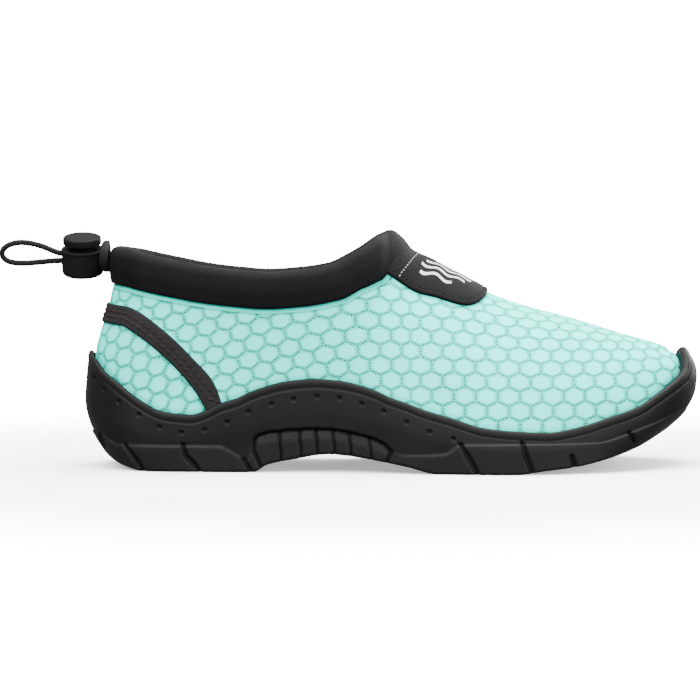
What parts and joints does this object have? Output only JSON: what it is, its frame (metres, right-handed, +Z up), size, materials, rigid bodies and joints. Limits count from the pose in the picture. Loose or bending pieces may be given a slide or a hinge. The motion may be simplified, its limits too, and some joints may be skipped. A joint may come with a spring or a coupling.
{
  "type": "water shoe",
  "caption": "Low slip-on right water shoe: moulded cup sole with a wavy edge, mesh upper, padded collar, instep tab, heel tape and a draw cord with a spring cord lock.",
  "frame": {"origin": "on the ground plane, under the middle of the shoe's length and width, measured without the cord and its lock", "axes": "+X from heel to toe, +Z up, +Y towards the medial side, so -Y is the outer side of this right shoe"},
  "size_m": [0.2788, 0.0938, 0.0942],
  "materials": {
    "sole_rubber": "moulded black rubber, satin",
    "mesh_fabric": "aqua honeycomb mesh over a lining",
    "collar_neoprene": "black knit over neoprene foam",
    "tape_webbing": "black woven tape with brown stitching",
    "insole_foam": "dark grey foam",
    "tab_rubber": "soft grey rubber",
    "lock_plastic": "black nylon, satin",
    "cord_black": "braided black elastic"
  },
  "bodies": {
    "shoe": {"sole": "sole_rubber", "upper": "mesh_fabric", "collar": "collar_neoprene", "instep_tab": "collar_neoprene", "heel_tape": "tape_webbing", "insole": "insole_foam", "cord_tab": "tab_rubber", "cord_lock_barrel": "lock_plastic", "draw_cord": "cord_black"},
    "lock_button": {"cord_lock_button": "lock_plastic"}
  },
  "joints": [
    {"name": "button_press", "type": "slide", "parent": "shoe", "child": "lock_button", "axis": [0, 0.2588, -0.9659], "range_m": [0, 0.0015], "stiffness_N_per_m": 700, "springref_m": -0.004}
  ]
}
